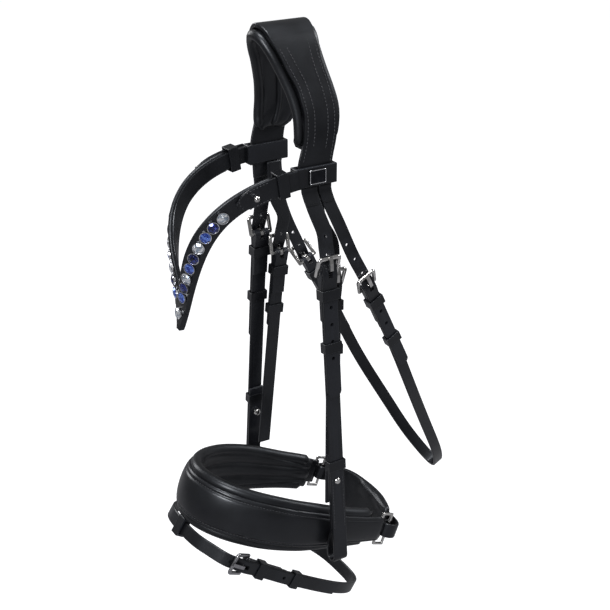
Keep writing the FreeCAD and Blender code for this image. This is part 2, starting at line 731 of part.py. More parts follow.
def flash():
    place = flash_place()
    width, leather = size("flash_width"), size("leather")
    tail = size("chape_length") + 6
    under = [local(place, leather / 2, 0, -z) for z in (tail - 2, tail)]
    ring = [flash_point(turn, leather / 2) for turn in range(88, 340, 10)]
    front = [flash_point(turn, leather / 2) for turn in (344, 352, 0, 8, 16, 26, 36)]
    billet_line = over_buckle(place, -tail)[2:]
    over = [flash_point(turn, 4.45) for turn in (88, 98, 108, 116)]
    path = under + ring + front + billet_line + over
    curve_out = []
    origin, rear, normal = flash_axes()
    centre = origin + rear * size("flash_half_length")
    spine = Part.BSplineCurve()
    spine.interpolate([Vector(*point) for point in path])
    for step in range(81):
        point = spine.value(spine.parameterAtDistance(spine.length() * step / 80))
        tangent = spine.tangent(spine.parameterAtDistance(spine.length() * step / 80))[0]
        out = normal.cross(tangent)
        if out.dot(point - centre) < 0:
            out = -out
        curve_out.append(tuple(out))
    shape = ribbon(path, curve_out, [width - JOIN_STEP], [leather - JOIN_STEP], 100)
    slot = Part.makeBox(12, size("slot_width"), 9.2, Vector(3, -size("slot_width") / 2, SLOT_CENTRE - 4.6))
    slot.Placement = place.multiply(slot.Placement)
    along_x = Vector(*turned(place, 1, 0, 0))
    shape = shape.cut(slot)
    for step in (1, -1, -3):
        z = SLOT_CENTRE + step * size("hole_pitch")
        shape = shape.cut(Part.makeCylinder(size("hole_radius"), 14, Vector(*local(place, 0.9 + 2, 0, z)), along_x))
    shape = shape.fuse(chape_solid(place, width, tail))
    feature("flash_strap", shape)
    ahead = Vector(*flash_point(FLASH_RUNNER + 1, 0)) - Vector(*flash_point(FLASH_RUNNER - 1, 0))
    runner_place = frame_at(flash_point(FLASH_RUNNER, 0), (1, 0, 0), tuple(-ahead))
    buckle_set("flash", place, "flash_width", runner_place)
    loop_for_flash()


def loop_for_flash():
    """The small loop at the band's lower front edge that holds the flash strap up."""
    _, _, normal = flash_axes()
    place = frame_at(flash_point(0, size("leather") / 2), (0, -1, 0), tuple(normal))
    place = place.multiply(Placement(Vector(0, 0, 0), Rotation(Vector(1, 0, 0), 90)))
    deep, tall, long = 5.2, size("flash_width") + 1.5, 11
    outer = Part.makeBox(deep + 5, tall + 5, long, Vector(-deep / 2 - 2.5, -tall / 2 - 2.5, -long / 2))
    outer = outer.makeFillet(1, outer.Edges)
    inner = Part.makeBox(deep, tall, long + 4, Vector(-deep / 2, -tall / 2, -long / 2 - 2))
    shape = outer.cut(inner)
    feature("flash_loop", shape, place)


# ---------------------------------------------------------------- browband

def brow_point(share, side):
    """A point on the browband's middle line, from its tip in front to the loop at one side."""
    knots = [(0, -112, -251), (16, -106, -201), (42, -124, -132), (46, -12, -122.5)]
    weights = [(1 - share) ** 3, 3 * (1 - share) ** 2 * share, 3 * (1 - share) * share ** 2, share ** 3]
    point = [sum(weight * knot[axis] for weight, knot in zip(weights, knots)) for axis in range(3)]
    return (side * point[0], point[1], point[2])


def brow_axes(share, side):
    """The direction along the band towards its loop, its outward face and its upward edge."""
    ahead = Vector(*brow_point(min(share + 0.02, 1), side))
    tangent = (ahead - Vector(*brow_point(share if share < 1 else 0.98, side))).normalize()
    lean = min(share * 1.25, 1)
    out = Vector(side * lean, lean - 1, 0.1 * (1 - lean))
    out = (out - tangent * out.dot(tangent)).normalize()
    return tangent, out, tangent.cross(out)


def brow_offset(share, side, lift):
    _, out, _ = brow_axes(share, side)
    point = Vector(*brow_point(share, side)) + out * lift
    return (point.x, point.y, point.z)


def brow_ribbon(shares, lift, widths, thick, count):
    """A strap along the band on one or both sides; shares are signed by side."""
    path, outward = [], []
    for share in shares:
        side = -1 if share < 0 else 1
        path.append(brow_offset(abs(share), side, lift))
        _, out, _ = brow_axes(abs(share), side)
        outward.append(tuple(out))
    rings = []
    curve = Part.BSplineCurve()
    curve.interpolate([Vector(*point) for point in path])
    for step in range(count + 1):
        at = curve.parameterAtDistance(curve.length() * step / count)
        nearest = min(range(len(path)), key=lambda index: abs(curve.parameter(Vector(*path[index])) - at))
        neighbour = nearest + (1 if at > curve.parameter(Vector(*path[nearest])) else -1)
        neighbour = max(0, min(neighbour, len(path) - 1))
        low, high = curve.parameter(Vector(*path[nearest])), curve.parameter(Vector(*path[neighbour]))
        share = 0 if neighbour == nearest else (at - low) / (high - low)
        out = Vector(*outward[nearest]) * (1 - share) + Vector(*outward[neighbour]) * share
        tangent = curve.tangent(at)[0]
        out = (out - tangent * out.dot(tangent)).normalize()
        rings.append(section(curve.value(at), tangent.cross(out), out, along(widths, step / count), thick))
    return skin(rings)


def crown_loop(side):
    """The browband's closed end, which the headpiece passes through."""
    wall, tall = size("loop_wall"), size("loop_height")
    inner_x, inner_y = size("crown_thick") + 1.4, size("crown_end_width") + 4
    x, y, z = side * size("head_half_width"), 7.5, -size("loop_top") - tall
    outer = Part.makeBox(inner_x + 2 * wall, inner_y + 2 * wall, tall,
                         Vector(x - inner_x / 2 - wall, y - inner_y / 2 - wall, z))
    outer = outer.makeFillet(1, outer.Edges)
    return outer.cut(Part.makeBox(inner_x, inner_y, tall + 4, Vector(x - inner_x / 2, y - inner_y / 2, z - 2)))


def brow_arm(side, tall, thick):
    """One arm of the V, cut off at the middle so that the two arms meet in a mitre."""
    rings = []
    for step in range(ARM_STEPS + 1):
        share = ARM_START + (ARM_END - ARM_START) * step / ARM_STEPS
        _, out, across = brow_axes(max(share, 0), side)
        rings.append(section(Vector(*brow_point(share, side)), across, out, tall, thick))
    middle = Part.makeBox(200, 400, 400, Vector(-200 if side > 0 else 0, -300, -400))
    return skin(rings).cut(middle)


def browband():
    tall, thick = size("brow_height"), size("brow_thick")
    arms = [brow_arm(side, tall, thick) for side in (1, -1)]
    shape = arms[0].fuse(arms[1])
    lift = thick / 2 + size("leather") / 2 + 0.1
    wide = size("tab_width")
    tab_widths = [wide * share for share in (0.35, 0.78, 0.94, 1, 1, 0.99, 0.97, 0.95, 0.93)]
    solids = []
    studs = []
    for side in (1, -1):
        tab_steps = [TAB_SHARE, 0.79, 0.82, 0.85, 0.88, 0.91, 0.94, 0.965, ARM_END]
        tab = brow_ribbon([side * share for share in tab_steps], lift, tab_widths, size("leather"), 24)
        solids += [crown_loop(side), tab]
        studs.append(brow_stud(side, lift))
    shape = shape.fuse(solids)
    for side in (1, -1):
        point, out = Vector(*brow_offset(STUD_SHARE, side, -2)), brow_axes(STUD_SHARE, side)[1]
        shape = shape.cut(Part.makeCylinder(1.7, 14, point, out))
    feature("browband_band", shape)
    feature("browband_studs", Part.makeCompound(studs))
    for name, side in (("left", 1), ("right", -1)):
        tangent, out, _ = brow_axes(KEEPER_SHARE, side)
        place = frame_at(brow_point(KEEPER_SHARE, side), tuple(out), tuple(tangent))
        inside, outside = -thick / 2 - 0.5, thick / 2 + size("leather") + 0.8
        keeper(name + "_browband_keeper", place, "(Sizes.tab_width + 0.4)", inside, outside)
    crystals()


def brow_stud(side, lift):
    """A ball stud on a post, turned about the direction out of the band."""
    tangent, out, _ = brow_axes(STUD_SHARE, side)
    post, ball = 1.6, 3.1
    neck = lift + size("leather") / 2 + 1.4
    centre = neck + math.sqrt(ball ** 2 - post ** 2)
    shoulder = Vector(post, 0, neck)
    edges = [Part.makeLine(Vector(0, 0, 0), Vector(post, 0, 0)), Part.makeLine(Vector(post, 0, 0), shoulder),
             Part.Arc(shoulder, Vector(ball, 0, centre), Vector(0, 0, centre + ball)).toShape(),
             Part.makeLine(Vector(0, 0, centre + ball), Vector(0, 0, 0))]
    half = Part.Face(Part.Wire(edges))
    solid = half.revolve(Vector(0, 0, 0), Vector(0, 0, 1), 360)
    solid.Placement = frame_at(brow_offset(STUD_SHARE, side, -1), tuple(tangent), tuple(out))
    return solid


def stone(place):
    """A faceted stone: a girdle, a crown cut to a small table and a flat back."""
    radius, levels = size("crystal_radius"), ((0, 1.0), (0.5, 1.0), (1.9, 0.62), (2.3, 0.3))
    wires = []
    for level, share in levels:
        corners = [Vector(radius * share * math.cos(math.pi * step / 4), radius * share *
                          math.sin(math.pi * step / 4), level) for step in range(9)]
        wires.append(Part.makePolygon(corners))
    shape = Part.makeLoft(wires, True, True)
    shape.Placement = place
    return shape


def setting(place):
    radius, wall = size("crystal_radius"), size("setting_wall")
    cup = Part.makeCylinder(radius + wall, 1.7).cut(Part.makeCylinder(radius + 0.06, 2, Vector(0, 0, 0.8)))
    cup.Placement = place
    return cup


def crystals():
    """Stones set along both arms, repeating blue, clear and navy, with a clear one at the tip."""
    length, spots = 0, [(0.0, 1)]
    steps = 400
    for step in range(1, steps):
        share = step / steps
        length += (Vector(*brow_point(share, 1)) - Vector(*brow_point((step - 1) / steps, 1))).Length
        if share > TAB_SHARE - 0.04:
            break
        if length >= FIRST_STONE + size("crystal_pitch") * (len(spots) - 1) / 2:
            spots += [(share, 1), (share, -1)]
    cups, stones = [], {"crystals_clear": [], "crystals_blue": [], "crystals_navy": []}
    order = ["crystals_clear", "crystals_blue", "crystals_navy"]
    for number, (share, side) in enumerate(spots):
        _, out, up = brow_axes(share, side)
        base = Vector(*brow_offset(share, side, size("brow_thick") / 2 + STONE_LIFT))
        place = frame_at(tuple(base), tuple(up), tuple(out))
        cups.append(setting(place))
        stones[order[((number + 1) // 2) % 3]].append(stone(place.multiply(Placement(Vector(0, 0, 0.86), Rotation()))))
    feature("browband_settings", Part.makeCompound(cups))
    for label, solids in stones.items():
        feature(label, Part.makeCompound(solids))


def name_plate():
    """A small blank plate with a raised border on the near loop."""
    body = doc.addObject("PartDesign::Body", "name_plate")
    face = new_sketch(body, "Face", "XY_Plane")
    half_long, half_tall, border = PLATE
    rectangle(face, (str(-half_long), str(-half_tall)), (str(half_long), str(half_tall)))
    new_pad(body, "Plate", face, "1.4")
    panel = new_sketch(body, "Panel", "XY_Plane")
    rectangle(panel, (str(border - half_long), str(border - half_tall)),
              (str(half_long - border), str(half_tall - border)))
    panel.AttachmentOffset = Placement(Vector(0, 0, 0.7), Rotation())
    new_pocket(body, "PanelPocket", panel, "0.6")
    doc.recompute()
    x = size("head_half_width") + (size("crown_thick") + 1.4) / 2 + size("loop_wall") + 0.75
    place = frame_at((x, 8, -size("loop_top") - size("loop_height") / 2), (0, 0, 1), (1, 0, 0))
    body.Placement = place.multiply(Placement(Vector(0, 0, 0), Rotation(Vector(0, 0, 1), 90)))
    keep(body, "name_plate")


# ---------------------------------------------------------------- assembly

for side_name, side_sign in (("left", 1), ("right", -1)):
    cheek_side(side_name, side_sign)
crown()
browband()
name_plate()
side_billets("noseband_billets", [(39.2, 13, -136), (39.6, 13.6, -146), (42, 17, -172)],
             hanger_place, "hanger_width", -90, (1, -1, -3, -4))
side_billets("throat_billets", [(45, 18.5, -136), (47, 20.5, -146), (55, 27, -168)],
             throat_place, "throat_width", -112, (3, 2, 1, -2, -3))
noseband()
chin()
for side_name, side_sign in (("left", 1), ("right", -1)):
    place = hanger_place(side_sign)
    hanger(side_name + "_noseband_hanger", place, 236)
    buckle_set(side_name + "_hanger", place, "hanger_width", down(place, 66))
    place = throat_place(side_sign)
    buckle_set(side_name + "_throat", place, "throat_width", down(place, 74))
throatlash()
flash()

doc.recompute()
os.makedirs("parts", exist_ok=True)
for item in doc.Objects:
    if "Invalid" in item.State or "Error" in item.State:
        raise SystemExit("bad state: " + item.Label)
for part in parts:
    if part.Shape.isNull() or not part.Shape.isValid():
        raise SystemExit("bad shape: " + part.Label)
for part in parts:
    part.Shape.exportStep("parts/%s.step" % part.Label)
    print(part.Label, round(part.Shape.Volume), len(part.Shape.Solids))
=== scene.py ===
import json
import math

import bpy
import numpy as np
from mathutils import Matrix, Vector


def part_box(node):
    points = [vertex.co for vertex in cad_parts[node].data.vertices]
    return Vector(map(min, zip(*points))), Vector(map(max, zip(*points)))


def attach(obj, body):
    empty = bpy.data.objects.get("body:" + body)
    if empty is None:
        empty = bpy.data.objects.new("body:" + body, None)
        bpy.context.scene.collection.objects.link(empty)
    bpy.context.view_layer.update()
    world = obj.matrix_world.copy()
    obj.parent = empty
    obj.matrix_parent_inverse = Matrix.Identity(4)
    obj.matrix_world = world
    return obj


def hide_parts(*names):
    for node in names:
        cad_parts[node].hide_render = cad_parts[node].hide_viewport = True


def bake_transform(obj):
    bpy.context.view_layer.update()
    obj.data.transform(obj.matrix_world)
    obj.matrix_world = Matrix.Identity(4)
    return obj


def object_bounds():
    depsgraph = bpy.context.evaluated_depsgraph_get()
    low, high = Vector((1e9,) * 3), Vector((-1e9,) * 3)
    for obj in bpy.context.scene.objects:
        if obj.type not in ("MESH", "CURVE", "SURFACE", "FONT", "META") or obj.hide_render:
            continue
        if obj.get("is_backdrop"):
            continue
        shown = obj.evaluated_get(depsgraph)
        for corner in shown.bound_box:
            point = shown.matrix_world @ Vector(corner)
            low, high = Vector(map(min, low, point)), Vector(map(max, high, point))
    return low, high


# A snaffle bridle: black leather straps, nickel buckles, padded crown and noseband, crystal browband.
# Metres, except where a comment says mm. +Z is up, -Y the forehead side, +X the near side.

MM = 0.001
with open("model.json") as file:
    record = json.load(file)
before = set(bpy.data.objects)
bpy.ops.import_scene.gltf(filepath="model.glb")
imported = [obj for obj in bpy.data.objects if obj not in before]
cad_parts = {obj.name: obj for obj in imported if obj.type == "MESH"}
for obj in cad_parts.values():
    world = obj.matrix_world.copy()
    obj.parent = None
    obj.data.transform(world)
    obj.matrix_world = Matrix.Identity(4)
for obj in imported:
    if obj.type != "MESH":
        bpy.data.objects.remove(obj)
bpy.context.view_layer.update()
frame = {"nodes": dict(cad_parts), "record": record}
nodes = frame["nodes"]
SIDES = (("left", 1), ("right", -1))
SECTION_STEP = 5 * MM           # distance between the cuts that measure a wide strap
FOLD_CLEAR = 11 * MM            # points further than this from a strap's plane belong to another fold
MAX_SECTIONS = 400              # a strap is never cut more often than this
PAD_POINTS = 48                 # points across each face of a pad's cross-section
CLOTH_STEPS = 14                # simulated frames in which a pad swells

BROW_HALF = 8                   # half the browband's height, mm
CORD_START, CORD_END = 0.03, 0.93   # shares of the arm between which the cords run
CORD_RADIUS = 2.4               # the rolled cords on the browband's edges, mm
CORD_INSET = 0.4                # how far the cords sit in from the edges, mm
CORD_LIFT = 0.6                 # how far the cords stand out from the band's middle, mm
TAB_HALF = 8.1                  # half the height of the tab's stitched outline, mm
TAB_FACE = 6                    # the tab's face above the band's middle, mm
TAB_START, TAB_END = 0.79, 0.915   # shares of the arm between which the tab's edges are stitched
TAB_ROUND = ((0.79, -8.1), (0.778, -6.4), (0.772, 0), (0.778, 6.4), (0.79, 8.1))   # share and height, mm

FLEX_TOP = -0.1325              # height at which the leather sleeve starts, on the crown
FLEX_BOTTOM = -0.1500           # height at which it ends, on the hanging strap
BILLET_CUT = -0.1375            # highest cut that still crosses a billet
FLEX_SHAPE = 0.35               # exponent that squares off the cover's rounded section

FLOOR_DROP = 90 * MM            # clear space under the object, so that the swinging flash strap stays above
FLOOR_HALF = 6                  # half the floor's side, m


# ------------------------------------------------------------------ materials

def new_material(name):
    """A new material, its node tree and its main shader."""
    material = bpy.data.materials.new(name)
    material.use_nodes = True
    tree = material.node_tree
    return material, tree, tree.nodes["Principled BSDF"]


def add(tree, kind, **values):
    """A new shader node, with inputs or settings given by name."""
    node = tree.nodes.new(kind)
    for key, value in values.items():
        if key in node.inputs:
            node.inputs[key].default_value = value
        else:
            setattr(node, key, value)
    return node


def ramp(tree, source, low, high, dark, light):
    """Maps a grey value between two stops to two colours."""
    node = tree.nodes.new("ShaderNodeValToRGB")
    node.color_ramp.elements[0].position = low
    node.color_ramp.elements[1].position = high
    node.color_ramp.elements[0].color = (*dark, 1)
    node.color_ramp.elements[1].color = (*light, 1)
    tree.links.new(source, node.inputs[0])
    return node.outputs[0]


def grain_height(tree, place, scale, pore_share):
    """Fine pebbled grain: small cells broken up by noise."""
    cells = add(tree, "ShaderNodeTexVoronoi", feature="SMOOTH_F1")
    cells.inputs["Scale"].default_value = scale
    fine = add(tree, "ShaderNodeTexNoise")
    fine.inputs["Scale"].default_value = scale * 1.7
    fine.inputs["Detail"].default_value = 5
    blend = add(tree, "ShaderNodeMix", data_type="FLOAT")
    blend.inputs[0].default_value = pore_share
    tree.links.new(place, cells.inputs["Vector"])
    tree.links.new(place, fine.inputs["Vector"])
    tree.links.new(cells.outputs["Distance"], blend.inputs[2])
    tree.links.new(fine.outputs["Fac"], blend.inputs[3])
    return blend.outputs[0]


def leather(name, dark, light, rough, grain=900, depth=0.12, coat=0.3):
    """Dyed leather with pebbled grain, cloudy colour, and paler rubbed edges."""
    material, tree, shader = new_material(name)
    place = add(tree, "ShaderNodeTexCoord").outputs["Object"]
    cloud = add(tree, "ShaderNodeTexNoise")
    cloud.inputs["Scale"].default_value = 38
    cloud.inputs["Detail"].default_value = 4
    tree.links.new(place, cloud.inputs["Vector"])
    colour = ramp(tree, cloud.outputs["Fac"], 0.35, 0.7, dark, light)
    edge = add(tree, "ShaderNodeNewGeometry").outputs["Pointiness"]
    rubbed = ramp(tree, edge, 0.54, 0.68, (0, 0, 0), (1, 1, 1))
    mix = add(tree, "ShaderNodeMix", data_type="RGBA")
    tree.links.new(rubbed, mix.inputs[0])
    tree.links.new(colour, mix.inputs[6])
    mix.inputs[7].default_value = (0.012, 0.013, 0.017, 1)
    tree.links.new(mix.outputs[2], shader.inputs["Base Color"])
    polish = add(tree, "ShaderNodeMapRange")
    tree.links.new(cloud.outputs["Fac"], polish.inputs[0])
    polish.inputs["To Min"].default_value = rough - 0.07
    polish.inputs["To Max"].default_value = rough + 0.08
    tree.links.new(polish.outputs[0], shader.inputs["Roughness"])
    bump = add(tree, "ShaderNodeBump")
    bump.inputs["Strength"].default_value = depth
    bump.inputs["Distance"].default_value = 0.0006
    tree.links.new(grain_height(tree, place, grain, 0.45), bump.inputs["Height"])
    tree.links.new(bump.outputs[0], shader.inputs["Normal"])
    shader.inputs["Coat Weight"].default_value = coat
    shader.inputs["Coat Roughness"].default_value = 0.24
    shader.inputs["Specular IOR Level"].default_value = 0.4
    shader.inputs["Specular Tint"].default_value = (0.84, 0.9, 1, 1)
    return material


def metal(name, colour, rough):
    """Polished metal with faint hairline scratches and slight tarnish in random patches."""
    material, tree, shader = new_material(name)
    place = add(tree, "ShaderNodeTexCoord").outputs["Object"]
    haze = add(tree, "ShaderNodeTexNoise")
    haze.inputs["Scale"].default_value = 160
    haze.inputs["Detail"].default_value = 6
    tree.links.new(place, haze.inputs["Vector"])
    dull = tuple(part * 0.72 for part in colour)
    tree.links.new(ramp(tree, haze.outputs["Fac"], 0.3, 0.62, dull, colour), shader.inputs["Base Color"])
    spread = add(tree, "ShaderNodeMapRange")
    tree.links.new(haze.outputs["Fac"], spread.inputs[0])
    spread.inputs["To Min"].default_value = rough
    spread.inputs["To Max"].default_value = rough + 0.12
    tree.links.new(spread.outputs[0], shader.inputs["Roughness"])
    bump = add(tree, "ShaderNodeBump")
    bump.inputs["Strength"].default_value = 0.03
    bump.inputs["Distance"].default_value = 0.0002
    tree.links.new(haze.outputs["Fac"], bump.inputs["Height"])
    tree.links.new(bump.outputs[0], shader.inputs["Normal"])
    shader.inputs["Metallic"].default_value = 1
    return material


def crystal(name, deep, bright):
    """Foil-backed cut glass: hard facets over a coloured depth, with random cells painted bright as painted
    glints.
    """
    material, tree, shader = new_material(name)
    place = add(tree, "ShaderNodeTexCoord").outputs["Object"]
    facets = add(tree, "ShaderNodeTexVoronoi", feature="F1")
    facets.inputs["Scale"].default_value = 520
    tree.links.new(place, facets.inputs["Vector"])
    split = add(tree, "ShaderNodeSeparateColor")
    tree.links.new(facets.outputs["Color"], split.inputs[0])
    # painted glints: each cell's colour runs from the glass's own deep colour to a bright painted glint
    # colour
    colour = ramp(tree, split.outputs[0], 0.2, 0.85, deep, bright)
    tree.links.new(colour, shader.inputs["Base Color"])
    bump = add(tree, "ShaderNodeBump")
    bump.inputs["Strength"].default_value = 0.5
    bump.inputs["Distance"].default_value = 0.0012
    tree.links.new(split.outputs[1], bump.inputs["Height"])
    tree.links.new(bump.outputs[0], shader.inputs["Normal"])
    shader.inputs["Metallic"].default_value = 0.75
    shader.inputs["Roughness"].default_value = 0.06
    shader.inputs["Coat Weight"].default_value = 1
    shader.inputs["Coat Roughness"].default_value = 0.02
    return material


def thread(name, colour):
    """Waxed thread, a little paler than the leather, with darker bands painted across it as painted shade
    in the grooves between its twisted plies.
    """
    material, tree, shader = new_material(name)
    place = add(tree, "ShaderNodeTexCoord").outputs["Object"]
    twist_shade_bands = add(tree, "ShaderNodeTexWave")
    twist_shade_bands.inputs["Scale"].default_value = 900
    tree.links.new(place, twist_shade_bands.inputs["Vector"])
    # painted shade: the bands darken the thread's own colour to half, as shade in the grooves between its
    # twisted plies
    dark = tuple(part * 0.5 for part in colour)
    tree.links.new(ramp(tree, twist_shade_bands.outputs["Fac"], 0.2, 0.8, dark, colour), shader.inputs["Base Color"])
    shader.inputs["Roughness"].default_value = 0.6
    return material


LEATHER = leather("bridle_leather", (0.0022, 0.0023, 0.0029), (0.005, 0.0053, 0.0066), 0.37)
LINING = leather("soft_leather", (0.0024, 0.0025, 0.003), (0.0056, 0.0059, 0.007), 0.42, grain=620,
                 depth=0.2, coat=0.2)
NICKEL = metal("polished_nickel", (0.80, 0.79, 0.77), 0.1)
PEWTER = metal("pewter", (0.42, 0.42, 0.44), 0.2)
SILVER = metal("silver_cups", (0.86, 0.87, 0.9), 0.12)
PLATE = metal("dark_plate", (0.035, 0.037, 0.045), 0.3)
# each crystal's first colour is its own deep colour, its second the bright colour of its painted glints
CLEAR = crystal("clear_crystal", (0.35, 0.42, 0.52), (0.97, 0.98, 1.0))
BLUE = crystal("blue_crystal", (0.012, 0.04, 0.36), (0.2, 0.36, 1.0))
NAVY = crystal("navy_crystal", (0.002, 0.003, 0.02), (0.04, 0.06, 0.32))
THREAD = thread("thread", (0.045, 0.047, 0.055))

BY_SLOT = {
    "black_leather": LEATHER,
    "soft_lining": LINING,
    "polished_nickel": NICKEL,
    "dark_nickel": PEWTER,
    "silver_settings": SILVER,
    "clear_crystal": CLEAR,
    "blue_crystal": BLUE,
    "navy_crystal": NAVY,
    "dark_plate": PLATE,
}


def dress_nodes():
    """Gives every CAD node the material of its slot."""
    slots = {entry["node"]: entry["material_slot"] for entry in frame["record"]["subparts"]}
    for name, piece in nodes.items():
        piece.data.materials.clear()
        piece.data.materials.append(BY_SLOT[slots[name]])


# ------------------------------------------------------------------ reading straps from the frame

class Section:
    """One cut through a strap: its middle, its directions and its sizes."""

    def __init__(self, middle, across, out, width, thick):
        self.middle = middle
        self.across = across
        self.out = out
        self.width = width
        self.thick = thick


def edge_ends(node):
    """The two ends of every edge of a CAD node's mesh."""
    mesh = nodes[node].data
    places = np.array([vertex.co[:] for vertex in mesh.vertices])
    pairs = np.array([edge.vertices[:] for edge in mesh.edges])
    return places[pairs[:, 0]], places[pairs[:, 1]]


def cut(ends, origin, normal, reach, out=None):
    """Where a plane crosses a mesh's edges, near a point and not on another fold of the strap."""
    first, second = ends
    low, high = (first - origin) @ normal, (second - origin) @ normal
    crossing = (low * high) < 0
    share = (low[crossing] / (low[crossing] - high[crossing]))[:, None]
    points = first[crossing] * (1 - share) + second[crossing] * share
    points = points[np.linalg.norm(points - origin, axis=1) < reach]
    if out is not None:
        points = points[np.abs((points - origin) @ out) < FOLD_CLEAR]
    return points


def unit(vector):
    """The vector scaled to a length of one."""
    return vector / np.linalg.norm(vector)


def march(node, start, ahead, out, step, reach):
    """Follows a strap from start, cutting it every step, until it ends."""
    ends = edge_ends(node)
    place, ahead, out = np.array(start, float), unit(np.array(ahead, float)), unit(np.array(out, float))
    sections = []
    for _ in range(MAX_SECTIONS):
        points = cut(ends, place, ahead, reach, out)
        if len(points) < 4:
            break
        middle = points.mean(axis=0)
        across = np.linalg.svd(points - middle, full_matrices=False)[2][0]
        across = unit(across - ahead * (across @ ahead))
        normal = np.cross(across, ahead)
        if normal @ out < 0:
            normal, across = -normal, -across
        over, lift = (points - middle) @ across, (points - middle) @ normal
        middle = middle + across * (over.max() + over.min()) / 2 + normal * (lift.max() + lift.min()) / 2
        if sections:
            moved = middle - sections[-1].middle
            if np.linalg.norm(moved) > step * 0.2:
                ahead = unit(ahead * 0.35 + unit(moved) * 0.65)
        sections.append(Section(middle, across, normal, np.ptp(over), np.ptp(lift)))
        out = normal
        place = middle + ahead * step
    return sections


def smooth(sections):
    """Evens out the middles and directions of a run of sections, in two rounds."""
    for _ in range(2):
        for before, here, after in zip(sections, sections[1:], sections[2:]):
            here.middle = (before.middle + here.middle * 2 + after.middle) / 4
            here.out = unit(before.out + here.out * 2 + after.out)
            here.width = (before.width + here.width * 2 + after.width) / 4
            here.thick = (before.thick + here.thick * 2 + after.thick) / 4
        for here in sections:
            here.across = unit(here.across - here.out * (here.across @ here.out))
    return sections


def both_ways(node, middle, out, step, reach):
    """Cuts a strap from its far end to its near end, starting at its middle, with one sense of across."""
    near = march(node, middle, (1, 0, 0), out, step, reach)
    far = march(node, middle, (-1, 0, 0), out, step, reach)
    run = far[:0:-1] + near
    for before, here in zip(run, run[1:]):
        if here.across @ before.across < 0:
            here.across = -here.across
    return run


def middle_of(node, half_width, behind=None):
    """The middle of the part of a node near the centre plane, up to a limit in depth when one is given."""
    places = np.concatenate(edge_ends(node))
    near_centre = places[np.abs(places[:, 0]) < half_width]
    if behind is not None:
        near_centre = near_centre[near_centre[:, 1] < behind]
    middle = near_centre.mean(axis=0)
    middle[0] = 0
    return middle


def march_down(node, side, reach, skip=8 * MM):
    """Cuts a hanging strap from just under its top end to its foot."""
    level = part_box(node)[1][2] - skip
    places = np.concatenate(edge_ends(node))
    band = places[np.abs(places[:, 2] - level) < 8 * MM]
    middle = (band.max(axis=0) + band.min(axis=0)) / 2
    middle[2] = level
    return march(node, middle, (0, 0, -1), (side, 0, 0), 4 * MM, reach)


# ------------------------------------------------------------------ mesh building

def make_object(name, points, faces, material, shade=True):
    """A new object in the scene from points and faces, smooth shaded unless told otherwise."""
    mesh = bpy.data.meshes.new(name)
    mesh.from_pydata([tuple(point) for point in points], [], faces)
    mesh.validate()
    if shade:
        mesh.shade_smooth()
    mesh.materials.append(material)
    piece = bpy.data.objects.new(name, mesh)
    bpy.context.scene.collection.objects.link(piece)
    return piece


def loft(name, rings, material, closed=False):
    """A skin over rings of equal point counts, capped at both ends unless it closes on itself."""
    count, around = len(rings), len(rings[0])
    points = [point for ring in rings for point in ring]
    faces = []
    for row in range(count if closed else count - 1):
        following = (row + 1) % count
        for spot in range(around):
            nxt = (spot + 1) % around
            faces.append((row * around + spot, row * around + nxt, following * around + nxt,
                          following * around + spot))
    if not closed:
        faces.append(tuple(range(around))[::-1])
        faces.append(tuple((count - 1) * around + spot for spot in range(around)))
    return make_object(name, points, faces, material)


def shaped(name, sections, profile, material, taper=3):
    """A loft whose cross-section comes from profile(width, thick), drawn in at both ends."""
    rings = []
    last = len(sections) - 1
    for index, section in enumerate(sections):
        near = min(index, last - index) / taper
        shrink = 1 if near >= 1 else 0.55 + 0.45 * math.sqrt(1 - (1 - near) ** 2)
        ring = [section.middle + section.across * over + section.out * lift * shrink
                for over, lift in profile(section.width, section.thick)]
        rings.append(ring)
    return loft(name, rings, material)


def finish_piece(piece, body, slot, *stands_for):
    """Fixes a piece to a body and hides the CAD nodes it stands for; slot is not used."""
    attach(piece, body)
    if stands_for:
        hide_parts(*stands_for)


def tube(name, points, radius, material, around=10, closed=False):
    """A round cord along points, with rounded ends."""
    points = [np.array(point, float) for point in points]
    rings = []
    guide = np.array([0.0, 0.0, 1.0])
    last = len(points) - 1
    for index, point in enumerate(points):
        ahead = unit(points[min(index + 1, last)] - points[max(index - 1, 0)])
        side = np.cross(ahead, guide)
        if np.linalg.norm(side) < 0.2:
            side = np.cross(ahead, np.array([0.0, 1.0, 0.0]))
        side = unit(side)
        guide = unit(np.cross(side, ahead))
        size = radius * (0.4 if not closed and index in (0, last) else 1)
        turns = [2 * math.pi * spot / around for spot in range(around)]
        rings.append([point + (side * math.cos(turn) + guide * math.sin(turn)) * size for turn in turns])
    return loft(name, rings, material, closed=closed)


def stitch_row(points, pitch=3.4 * MM, length=2.5 * MM, radius=0.36 * MM):
    """Vertices and faces of a row of small stitches lying along a line of points."""
    points = np.array(points)
    steps = np.linalg.norm(np.diff(points, axis=0), axis=1)
    marks = np.concatenate([[0], np.cumsum(steps)])
    vertices, faces = [], []
    spots = np.arange(pitch, marks[-1] - pitch, pitch)
    for spot in spots:
        start = np.array([np.interp(spot - length / 2, marks, points[:, axis]) for axis in range(3)])
        end = np.array([np.interp(spot + length / 2, marks, points[:, axis]) for axis in range(3)])
        ahead = unit(end - start)
        side = unit(np.cross(ahead, np.array([0.31, 0.52, 0.79])))
        rise = np.cross(side, ahead)
        base = len(vertices)
        for share, wide in ((0, 0.25), (0.25, 1), (0.75, 1), (1, 0.25)):
            centre = start + (end - start) * share
            for turn in range(6):
                angle = math.pi * turn / 3
                vertices.append(centre + (side * math.cos(angle) + rise * math.sin(angle)) * radius * wide)
        for ring in range(3):
            for turn in range(6):
                low, nxt = base + ring * 6 + turn, base + ring * 6 + (turn + 1) % 6
                faces.append((low, nxt, nxt + 6, low + 6))
        faces.append(tuple(base + turn for turn in range(6))[::-1])
        faces.append(tuple(base + 18 + turn for turn in range(6)))
    return vertices, faces


